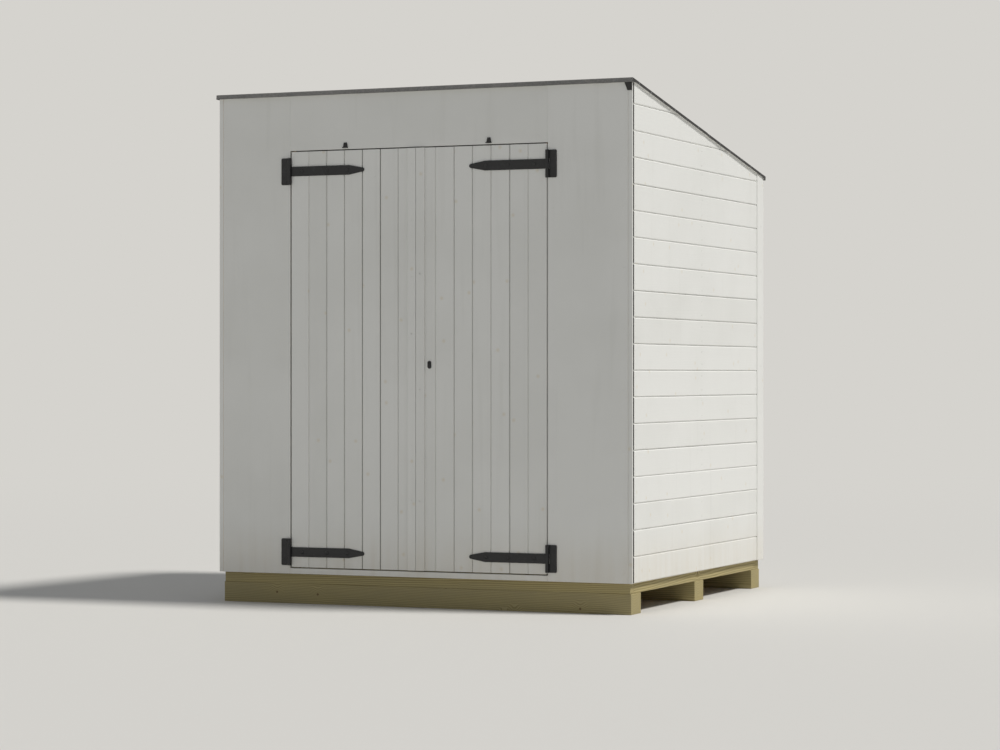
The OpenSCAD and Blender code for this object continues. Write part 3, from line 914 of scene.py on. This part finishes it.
# %% Nails and screws
SUNK = 1.2 * MM
NAIL_PROUD, NAIL_ROUND = 0.5 * MM, 0.15 * MM
SCREW_PROUD, SCREW_ROUND, SLOT_DEPTH = 0.6 * MM, 0.4 * MM, 0.9 * MM


def disc(name, radius, low, high, sides=12):
    """A cylinder primitive between two levels."""
    return primitive(name, bpy.ops.mesh.primitive_cylinder_add, vertices=sides, radius=radius,
                     depth=high - low, location=(0, 0, (low + high) / 2))


def nail(name, radius):
    """A flat head that a hammer has dished, set a hair proud of the wood."""
    head = disc(name, radius, -SUNK, NAIL_PROUD)
    with editing(head):
        pick_faces(head, lambda c, n: n.z > 0.9)
        bpy.ops.mesh.inset(thickness=radius / 4)
        bpy.ops.transform.translate(value=(0, 0, -NAIL_PROUD))
    ease(head, NAIL_ROUND)
    return head


def slotted_screw(name, radius):
    """A flat screw head with a slot: two cuts across it, and the strip between pushed in."""
    head = disc(name, radius, -SUNK, SCREW_PROUD, 20)
    ease(head, SCREW_ROUND)
    slot = 0.14 * radius
    with editing(head):
        for y in (-slot, slot):
            saw((0, y, 0), Y)
        pick_faces(head, lambda c, n: n.z > 0.9 and abs(c.y) < slot / 2)
        bpy.ops.mesh.extrude_region_move(TRANSFORM_OT_translate={"value": (0, 0, -SLOT_DEPTH)})
    return head


wall_nail = nail("wall_nail", 3.2 * MM)
clout_nail = nail("clout_nail", 5 * MM)
panel_screw = slotted_screw("panel_screw", 4 * MM)
plate_screw = slotted_screw("plate_screw", 4.8 * MM)
print("faces of a nail:", len(wall_nail.data.polygons))

# %% Bolts, nuts and washers
WASHER_RADIUS, NUT_RADIUS, THREAD_RADIUS = 11 * MM, 7.5 * MM, 4 * MM
WASHER_TOP, NUT_TOP, THREAD_TOP, NUT_ROUND = 1.6 * MM, 8.1 * MM, 11 * MM, 0.8 * MM


def coach_bolt(name, radius):
    """A sphere pressed flat, of which only the upper half is kept."""
    head = primitive(name, bpy.ops.mesh.primitive_uv_sphere_add, (1, 1, 0.45), segments=20,
                     ring_count=10, radius=radius)
    cut_off(head, (0, 0, 0), (0, 0, -1))
    return head


def nut_and_washer(name):
    washer = disc("washer", WASHER_RADIUS, 0, WASHER_TOP, 20)
    ease(washer, NUT_ROUND / 2)
    nut = disc("nut", NUT_RADIUS, WASHER_TOP, NUT_TOP, 6)
    ease(nut, NUT_ROUND)
    thread = disc("thread", THREAD_RADIUS, WASHER_TOP, THREAD_TOP, 12)
    ease(thread, NUT_ROUND)
    return join(name, [washer, nut, thread])


bolt_head = coach_bolt("bolt_head", 9 * MM)
bolt_end = nut_and_washer("bolt_end")
print("faces of a bolt's head:", len(bolt_head.data.polygons))

# %% Set a fastener out on its spots


def set_out(name, model, spots, outward, material, body, slot):
    """Copies a fastener to its spots, heads outwards, and joins the copies into one piece."""
    across = Z.cross(outward).normalized() if abs(outward.z) < 0.9 else X
    facing = Matrix((across, outward.cross(across), outward)).transposed()
    copies = []
    for spot in spots:
        twin = copy_of(model)
        spin = Matrix.Rotation(chance.uniform(0, math.tau), 3, "Z")
        twin.matrix_world = Matrix.Translation(spot) @ (facing @ spin).to_4x4()
        copies.append(twin)
    group = join(name, copies)
    settle(group)
    smooth_below(group, 35)
    print(name, len(copies))
    dress(group, material, body, slot)


def loose(spots, wander):
    """The same spots, each moved a little up or down, as nails driven by eye are."""
    return [spot + Z * chance.uniform(-wander, wander) for spot in spots]


def ladder(foot, first, step, count):
    """Levels at even steps above the foot of a piece."""
    return [foot + first + number * step for number in range(count)]


# %% [markdown]
# A board is held by two nails wherever it crosses a post or stud, which makes three columns on
# each wall. Their heads are painted over with the boards.

# %% Nails in the side and rear boards
NAIL_EDGE = 25 * MM
NAIL_WANDER = 4 * MM
ROOF_CLEAR = 20 * MM
REAR_NAILS = 20 * MM


def board_nails(name, node, outward, columns):
    low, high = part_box(node)
    rows = math.ceil((high.z - low.z) / WALL_COVER)
    levels = [low.z + row * WALL_COVER + edge for row in range(rows)
              for edge in (NAIL_EDGE, WALL_COVER - NAIL_EDGE)]
    spots = [column + Z * level for level in levels for column in columns]
    spots = [spot for spot in loose(spots, NAIL_WANDER) if under_roof(spot, ROOF_CLEAR)]
    set_out(name, wall_nail, spots, outward, painted_board, "hut", "white_paint")


for side, way in SIDES:
    side_low, side_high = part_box(side + "_cladding")
    face = side_low.x if way < 0 else side_high.x
    nailed = (middle("front_" + side + "_post").y, middle(side + "_top_plate").y,
              side_high.y - REAR_NAILS)
    columns = [Vector((face, y, 0)) for y in nailed]
    board_nails(side + "_wall_nails", side + "_cladding", way * X, columns)
rear_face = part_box("rear_cladding")[1].y
nailed = (middle("rear_left_post").x, 0, middle("rear_right_post").x)
board_nails("rear_wall_nails", "rear_cladding", Y, [Vector((x, rear_face, 0)) for x in nailed])

# %% [markdown]
# The corner boards at the rear are nailed to their posts, and the floor boards to the joists.

# %% Nails in the rear corner boards and the floor
TRIM_FIRST, TRIM_STEP, TRIM_WANDER = 40 * MM, 225 * MM, 8 * MM
FLOOR_EDGE, FLOOR_CLEAR = 28 * MM, 5 * MM
trim_low, trim_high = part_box("rear_trims")
for side, way in SIDES:
    face = trim_low.x if way < 0 else trim_high.x
    post = middle("rear_" + side + "_post")
    spots = [Vector((face, post.y, z)) for z in ladder(trim_low.z, TRIM_FIRST, TRIM_STEP, 8)]
    set_out(side + "_corner_nails", wall_nail, loose(spots, TRIM_WANDER), way * X, painted_board,
            "hut", "white_paint")

floor_low, floor_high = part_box("floor_deck")
floor_rows = math.ceil((floor_high.y - floor_low.y) / FLOOR_COVER)
joists = [middle(name).x for name in ("left_joist", "centre_joist", "right_joist")]
spots = [Vector((x, floor_low.y + row * FLOOR_COVER + edge, floor_high.z))
         for row in range(floor_rows) for edge in (FLOOR_EDGE, FLOOR_COVER - FLOOR_EDGE)
         for x in joists]
spots = [spot for spot in spots if spot.y < floor_high.y - FLOOR_CLEAR]
set_out("floor_nails", wall_nail, spots, Z, old_zinc, "hut", "bare_timber")

# %% [markdown]
# The plywood is screwed along its posts, and the panel over the doors to the beam and the top
# plate behind it. The hinge plates and the clips cover the same posts, so no screw goes there.

# %% Screws in the front panels
SCREW_FIRST, SCREW_STEP = 40 * MM, 262 * MM
DOOR_EDGE = 25 * MM
HINGE_CLEAR, CLIP_CLEAR = 75 * MM, 30 * MM
HEAD_FIRST, HEAD_INSET = 29 * MM, 50 * MM
plate_zs = stretch_middles("left_hinge_plates")
panel_spots = []
for side, way in SIDES:
    panel_low, panel_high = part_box(side + "_front_panel")
    door_column = (panel_high.x if way < 0 else panel_low.x) + way * DOOR_EDGE
    for x in (middle("front_" + side + "_post").x, door_column):
        for level in ladder(panel_low.z, SCREW_FIRST, SCREW_STEP, 9):
            spot = Vector((x, front_face, level))
            by_hinge = x == door_column and min(abs(level - z) for z in plate_zs) < HINGE_CLEAR
            if under_roof(spot, ROOF_CLEAR) and not by_hinge:
                panel_spots.append(spot)
head_low, head_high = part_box("head_panel")
clip_xs = stretch_middles("head_clips", X)
for level in (head_low.z + HEAD_FIRST, middle("front_top_plate").z):
    for x in np.linspace(head_low.x + HEAD_INSET, head_high.x - HEAD_INSET, 6):
        upper_row = level > head_low.z + HEAD_FIRST + MM
        if upper_row or min(abs(x - clip) for clip in clip_xs) > CLIP_CLEAR:
            panel_spots.append(Vector((x, front_face, level)))
set_out("front_panel_screws", panel_screw, panel_spots, -Y, painted_sheet, "hut", "white_paint")

# %% [markdown]
# The door boards are nailed through to the ledges, two nails a board, set slantwise so that they
# don't split it along one line. Under a hinge strap or a meeting strip there are none.

# %% Nails in the door boards
LEDGE_NAIL = 31 * MM
BOARD_NAIL = 22 * MM
STRAP_CLEAR, STRIP_CLEAR = 6 * MM, 5 * MM
STRIP_FIRST, STRIP_STEP = 60 * MM, 248 * MM
LEAF_WANDER, STRIP_WANDER = 3 * MM, 10 * MM
pins = {joint["child"]: Vector(joint["pos_m"]) for joint in frame["joints"]}


def leaf_nails(side, way):
    leaf = side + "_leaf"
    low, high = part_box(leaf + "_boards")
    cover = (high.x - low.x) / DOOR_BOARDS
    straps = stretches(side + "_hinge_straps")
    strap_low, strap_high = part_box(side + "_hinge_straps")
    spots = []
    for ledge_low, ledge_high in stretches(leaf + "_ledges"):
        for number in range(DOOR_BOARDS):
            for slant in (-1, 1):
                spot = Vector((low.x + (number + 0.5) * cover + slant * BOARD_NAIL, front_face,
                               (ledge_low + ledge_high) / 2 - slant * LEDGE_NAIL))
                beside = not strap_low.x - STRAP_CLEAR < spot.x < strap_high.x + STRAP_CLEAR
                above_or_below = not any(bottom - STRAP_CLEAR < spot.z < top + STRAP_CLEAR
                                         for bottom, top in straps)
                off_strip = abs(spot.x - meeting) > STRIP_REACH + STRIP_CLEAR
                if off_strip and (beside or above_or_below):
                    spots.append(spot)
    strip_x = meeting + way * STRIP_REACH / 2
    strip_spots = [Vector((strip_x, front_face - STRIP_THICK, level))
                   for level in ladder(low.z, STRIP_FIRST, STRIP_STEP, 8)]
    spots = loose(spots, LEAF_WANDER) + loose(strip_spots, STRIP_WANDER)
    set_out(side + "_leaf_nails", wall_nail, spots, -Y, painted_board, leaf, "white_paint")


for side, way in SIDES:
    leaf_nails(side, way)

# %% [markdown]
# Three coach bolts hold each strap, and their nuts bear on washers behind the ledge. Four screws
# hold each hinge plate to its post, set in and out so that they don't share a line of grain.

# %% Bolts and screws of the hinges
IRON = 4 * MM
BOLT_REACHES = (62 * MM, 186 * MM, 288 * MM)
PLATE_SCREWS = ((17, -48), (31, -32), (31, 32), (17, 48))

for side, way in SIDES:
    leaf = side + "_leaf"
    pin = pins[leaf]
    ledge_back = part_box(leaf + "_ledges")[1].y
    bolts = [(pin.x - way * reach, z) for reach in BOLT_REACHES
             for z in stretch_middles(side + "_hinge_straps")]
    set_out(side + "_strap_bolts", bolt_head, [Vector((x, front_face - IRON, z)) for x, z in bolts],
            -Y, black_coat, leaf, "black_iron")
    set_out(side + "_strap_nuts", bolt_end, [Vector((x, ledge_back, z)) for x, z in bolts],
            Y, zinc, leaf, "black_iron")
    screws = [Vector((pin.x + way * out * MM, front_face - IRON, z + up * MM))
              for out, up in PLATE_SCREWS for z in plate_zs]
    set_out(side + "_plate_screws", plate_screw, screws, -Y, black_coat, "hut", "black_iron")

# %% [markdown]
# Each clip over the doors has one screw, and the lock's case inside has one at each corner.

# %% Screws of the clips and the lock
CASE_INSET = 9 * MM
CLIP_DOWN = 11 * MM
clip_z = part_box("head_clips")[1].z - CLIP_DOWN
set_out("clip_screws", panel_screw, [Vector((x, front_face - IRON, clip_z)) for x in clip_xs],
        -Y, black_coat, "hut", "black_iron")
case_low, case_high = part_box("lock_case")
case_spots = [Vector((x, case_high.y, z))
              for x in (case_low.x + CASE_INSET, case_high.x - CASE_INSET)
              for z in (case_low.z + CASE_INSET, case_high.z - CASE_INSET)]
set_out("lock_case_screws", panel_screw, case_spots, Y, black_coat, "right_leaf", "black_iron")

# %% [markdown]
# The felt lies on the roof boards as two widths, the front one lapped over the rear one, and its
# edges are folded down and nailed. It could be a grown copy of the roof, but real felt is never
# flat: it ripples between its nails, and its knife-cut edge wanders. So it starts as a grid laid
# in the slope's own axes. The border is extruded down for the folds, a cut across the middle lets
# the front half rise by the thickness of the lap, the folds are bevelled soft, and the ripple
# comes from a displacement by soft noise, before the sheet gets its thickness inwards.

# %% Size of the felt
FELT_THICK = 1.2 * MM
LAP_BACK = 60 * MM
felt_front, felt_rear, _, felt_top = slope_reach("roof_felt")
felt_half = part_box("roof_felt")[1].x - FELT_THICK
lap = (felt_front + felt_rear) / 2 + LAP_BACK
print("felt lapped", round(lap / MM), "mm down the slope")

# %% Sheet, folds and lap
FELT_CUTS = (44, 40)
SIDE_FOLD, FRONT_FOLD, FOLD_ROUND = 14 * MM, 21 * MM, 3 * MM
LAP_RISE, LAP_STEP, LAP_WIDER = 0.9 * MM, 1.5 * MM, 0.3 * MM
RIPPLE_ROOM, EDGE_ROOM, EDGE_WANDER = 1.6 * MM, 0.8 * MM, 0.7 * MM

level = felt_top - RIPPLE_ROOM
front, rear = felt_front + EDGE_ROOM, felt_rear - EDGE_ROOM
sheet = primitive("roof_felt_sheet", bpy.ops.mesh.primitive_grid_add,
                  (2 * felt_half, rear - front, 1), x_subdivisions=FELT_CUTS[0],
                  y_subdivisions=FELT_CUTS[1], size=1, location=(0, (front + rear) / 2, level))
with editing(sheet, "EDGE"):
    bpy.ops.mesh.select_non_manifold()
    bpy.ops.mesh.extrude_region_move(TRANSFORM_OT_translate={"value": (0, 0, -SIDE_FOLD)})
    pick_edges(sheet, lambda c, d: c.z < level - MM and abs(d.x) > MM)
    bpy.ops.transform.translate(value=(0, 0, SIDE_FOLD - FRONT_FOLD))
    pick_edges(sheet, lambda c, d: c.z < level - 0.8 * SIDE_FOLD)
    bpy.ops.transform.vertex_random(offset=EDGE_WANDER, seed=4)
    for cut in (lap, lap + LAP_STEP):
        saw((0, cut, 0), Y)
    pick_edges(sheet, lambda c, d: c.y < lap + 0.2 * MM)
    bpy.ops.transform.translate(value=(0, 0, LAP_RISE))
    bpy.ops.transform.resize(value=(1 + LAP_WIDER / felt_half, 1, 1), center_override=(0, 0, 0))
    pick_edges(sheet, lambda c, d: c.z > level - MM and (
        abs(c.x) > felt_half - MM or c.y < front + MM or c.y > rear - MM))
    bpy.ops.mesh.bevel(offset=FOLD_ROUND, segments=3, affect="EDGES")

# %% Ripple, thickness and finish of the felt
RIPPLE_SIZE, RIPPLE_HEIGHT = 0.22, 0.5 * MM

ripple = bpy.data.textures.new("felt_ripple", "CLOUDS")
ripple.noise_scale = RIPPLE_SIZE
apply_modifier(sheet, "DISPLACE", texture=ripple, strength=RIPPLE_HEIGHT, texture_coords="LOCAL")
apply_modifier(sheet, "SOLIDIFY", thickness=FELT_THICK, offset=-1)
place(sheet, eave, X, down_slope)
smooth_below(sheet, 35)
dress(sheet, felt, "hut", "roof_felt", "roof_felt")
finish_faces(sheet, bitumen, lambda c, n: abs(n.x) > 0.75)
print("felt faces:", len(sheet.data.polygons))

# %% [markdown]
# Along the lap a little bitumen has squeezed out: a thin bead, made from a block that is cut into
# short lengths and shaken, so that its width and height wander.

# %% Bead along the lap
BEAD_CUTS, BEAD_INSET, BEAD_ROUND = 90, 4 * MM, 0.5 * MM
BEAD_FRONT, BEAD_REAR, BEAD_FOOT, BEAD_TOP = 1.5 * MM, 3.5 * MM, 2.2 * MM, 0.9 * MM
bead = block("felt_lap_bead", (BEAD_INSET - felt_half, lap - BEAD_FRONT, felt_top - BEAD_FOOT),
             (felt_half - BEAD_INSET, lap + BEAD_REAR, felt_top - BEAD_TOP))
with editing(bead):
    for x in np.linspace(-felt_half, felt_half, BEAD_CUTS)[2:-2]:
        saw((x, 0, 0), X)
    bpy.ops.mesh.select_all(action="SELECT")
    bpy.ops.transform.vertex_random(offset=EDGE_WANDER, seed=9)
apply_modifier(bead, "BEVEL", width=BEAD_ROUND, segments=1, limit_method="ANGLE")
place(bead, eave, X, down_slope)
dress(bead, bitumen, "hut", "roof_felt")
print("bead:", round(2 * (felt_half - BEAD_INSET) / MM), "mm long")

# %% [markdown]
# Clout nails with broad flat heads hold the folds, one every 150 mm.

# %% Clout nails
CLOUT_STEP = 150 * MM
CLOUT_DOWN, SIDE_CLOUT_DOWN = 13 * MM, 9 * MM
CLOUT_IN, SIDE_CLOUT_OUT = 0.7 * MM, 0.6 * MM


def on_roof(x, along, above):
    """A point given in the slope's own axes."""
    return eave + X * x + down_slope * along + roof_up * above


def spread(low, high, step):
    """Places about a step apart, spread evenly between two ends."""
    count = int((high - low) / step)
    return [low + (number + 0.5) * (high - low) / count for number in range(count)]


nail_x = spread(-felt_half, felt_half, CLOUT_STEP)
nail_along = spread(felt_front, felt_rear, CLOUT_STEP)
for end, way, edge in (("front", -1, felt_front), ("rear", 1, felt_rear)):
    spots = [on_roof(x, edge - way * CLOUT_IN, felt_top - CLOUT_DOWN) for x in nail_x]
    set_out("felt_nails_" + end, clout_nail, spots, way * down_slope, old_zinc, "hut", "roof_felt")
for side, way in SIDES:
    spots = [on_roof(way * (felt_half + SIDE_CLOUT_OUT), along, felt_top - SIDE_CLOUT_DOWN)
             for along in nail_along]
    set_out("felt_nails_" + side, clout_nail, spots, way * X, old_zinc, "hut", "roof_felt")

# %% [markdown]
# At the right front corner the photograph shows a small black tab under the roof's edge: the
# corner of the felt, folded like a parcel and left hanging against the wall, its black underside
# out. A thin block is cut into strips, narrowed towards its foot, and bent strip by strip.

# %% Folded corner of the felt
TAB_WIDE, TAB_TALL, TAB_THICK, TAB_ROUND = 36 * MM, 42 * MM, 1.6 * MM, 0.4 * MM
TAB_BEND = (0, 0.5, 3, 6.5, 9)
TAB_BEHIND, TAB_TUCKED, TAB_PROUD, TAB_FOOT = 2 * MM, 8 * MM, 2 * MM, 6 * MM

tab_top = on_roof(0, felt_front + FELT_THICK + TAB_BEHIND, felt_top - FRONT_FOLD + TAB_TUCKED)
tab_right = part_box("front_trims")[1].x + TAB_PROUD
tab = block("felt_corner_tab", (tab_right - TAB_WIDE, tab_top.y, tab_top.z - TAB_TALL),
            (tab_right, tab_top.y + TAB_THICK, tab_top.z))
tab_step = TAB_TALL / (len(TAB_BEND) - 1)
with editing(tab):
    for strip in range(1, len(TAB_BEND) - 1):
        saw((0, 0, tab_top.z - strip * tab_step), Z)
    bpy.ops.mesh.select_mode(type="VERT")
    for strip, bend in enumerate(TAB_BEND):
        level = tab_top.z - strip * tab_step
        pick_points(tab, lambda number, co: abs(co.z - level) < MM)
        bpy.ops.transform.translate(value=(0, bend * MM, 0))
        bpy.ops.transform.resize(value=(1 - 0.1 * strip, 1, 1),
                                 center_override=(tab_right - TAB_FOOT, 0, 0))
ease(tab, TAB_ROUND)
dress(tab, bitumen, "hut", "roof_felt")
print("tab hangs down to", round((tab_top.z - TAB_TALL) / MM), "mm")

# %% [markdown]
# The models of the fasteners have been copied to all their spots and are no part of the hut.

# %% Clear away the models
for model in (wall_nail, clout_nail, panel_screw, plate_screw, bolt_head, bolt_end):
    bpy.data.objects.remove(model)

# %% [markdown]
# A pale floor that fades into the backdrop holds the hut's shadow. The fade goes by distance from
# the hut, so it looks the same from every side.

# %% Floor and backdrop
BACKDROP = "#D5D3CE"
FLOOR_REACH = 90
FADE_NEAR, FADE_FAR = 4.0, 16.0

ground = primitive("studio_floor", bpy.ops.mesh.primitive_circle_add, vertices=96,
                   radius=FLOOR_REACH, fill_type="NGON")
ground_paint, tree, shader = finish_named("studio_floor_paint", Roughness=0.9)
feed(tree, shader, {"Base Color": colour(BACKDROP)})
floor_spot = add(tree, "TexCoord").outputs["Object"]
distance = add(tree, "VectorMath", {0: floor_spot}, operation="LENGTH")
fade = add(tree, "MapRange", {0: distance, 1: FADE_NEAR, 2: FADE_FAR},
           interpolation_type="SMOOTHSTEP")
glow = add(tree, "Emission", {"Color": colour(BACKDROP)})
blend = add(tree, "MixShader", {0: fade, 1: shader, 2: glow})
feed(tree, tree.nodes["Material Output"], {"Surface": blend})
ground.data.materials.append(ground_paint)
print("floor reaches", FLOOR_REACH, "m")

# %% [markdown]
# The light is soft and comes from high on the right and a little behind, as in the photograph, so
# that the boarded side is bright and the front lies in even shade. The sky's light fills in from
# all round.

# %% World and lamp
SKY_BLUE, SKY_FILL = "#EDF2FA", 0.3
SUN_WAY = Vector((0.538, 0.096, 0.837))
SUN_TINT, SUN_LEVEL, SUN_WIDTH = (1.0, 0.985, 0.96), 0.836, 10

world = bpy.data.worlds.new("studio")
bpy.context.scene.world = world
world.use_nodes = True
sky = world.node_tree
path = add(sky, "LightPath")
seen = path.outputs["Is Camera Ray"]
for ray in ("Is Glossy Ray", "Is Transmission Ray"):
    seen = add(sky, "Math", {0: seen, 1: path.outputs[ray]}, operation="MAXIMUM")
backdrop = add(sky, "Background", {"Color": colour(BACKDROP), "Strength": 1.0})
fill = add(sky, "Background", {"Color": colour(SKY_BLUE), "Strength": SKY_FILL})
either = add(sky, "MixShader", {0: seen, 1: fill, 2: backdrop})
feed(sky, sky.nodes["World Output"], {"Surface": either})

sun = bpy.data.objects.new("soft_sun", bpy.data.lights.new("soft_sun", "SUN"))
sun.data.energy = SUN_LEVEL * math.pi
sun.data.angle = math.radians(SUN_WIDTH)
sun.data.color = SUN_TINT
sun.rotation_euler = SUN_WAY.to_track_quat("Z", "Y").to_euler()
bpy.context.scene.collection.objects.link(sun)
print("sun stands", round(math.degrees(math.asin(SUN_WAY.z))), "degrees high")

# %% [markdown]
# The camera stands where the photograph was taken from: 13.4 m away, 23 degrees to the right of
# the doors' axis and 1.03 m above the ground. It is level, as in the photograph, and turned to the
# hut with a longer lens so that the hut fills the frame.

# %% Camera
EYE = Vector((5.284, -12.343, 1.027))
LENS, SENSOR = 103, 36
FAR_LIMIT = 400

camera = bpy.data.objects.new("camera", bpy.data.cameras.new("camera"))
bpy.context.scene.collection.objects.link(camera)
camera.location = EYE
look = Vector((-EYE.x, -EYE.y, 0))
camera.rotation_euler = look.to_track_quat("-Z", "Y").to_euler()
camera.data.sensor_width = SENSOR
camera.data.lens = LENS
camera.data.clip_end = FAR_LIMIT
bpy.context.scene.camera = camera
bpy.context.scene.view_settings.view_transform = "Standard"
print("camera", round(look.length, 1), "m away, lens", LENS, "mm")
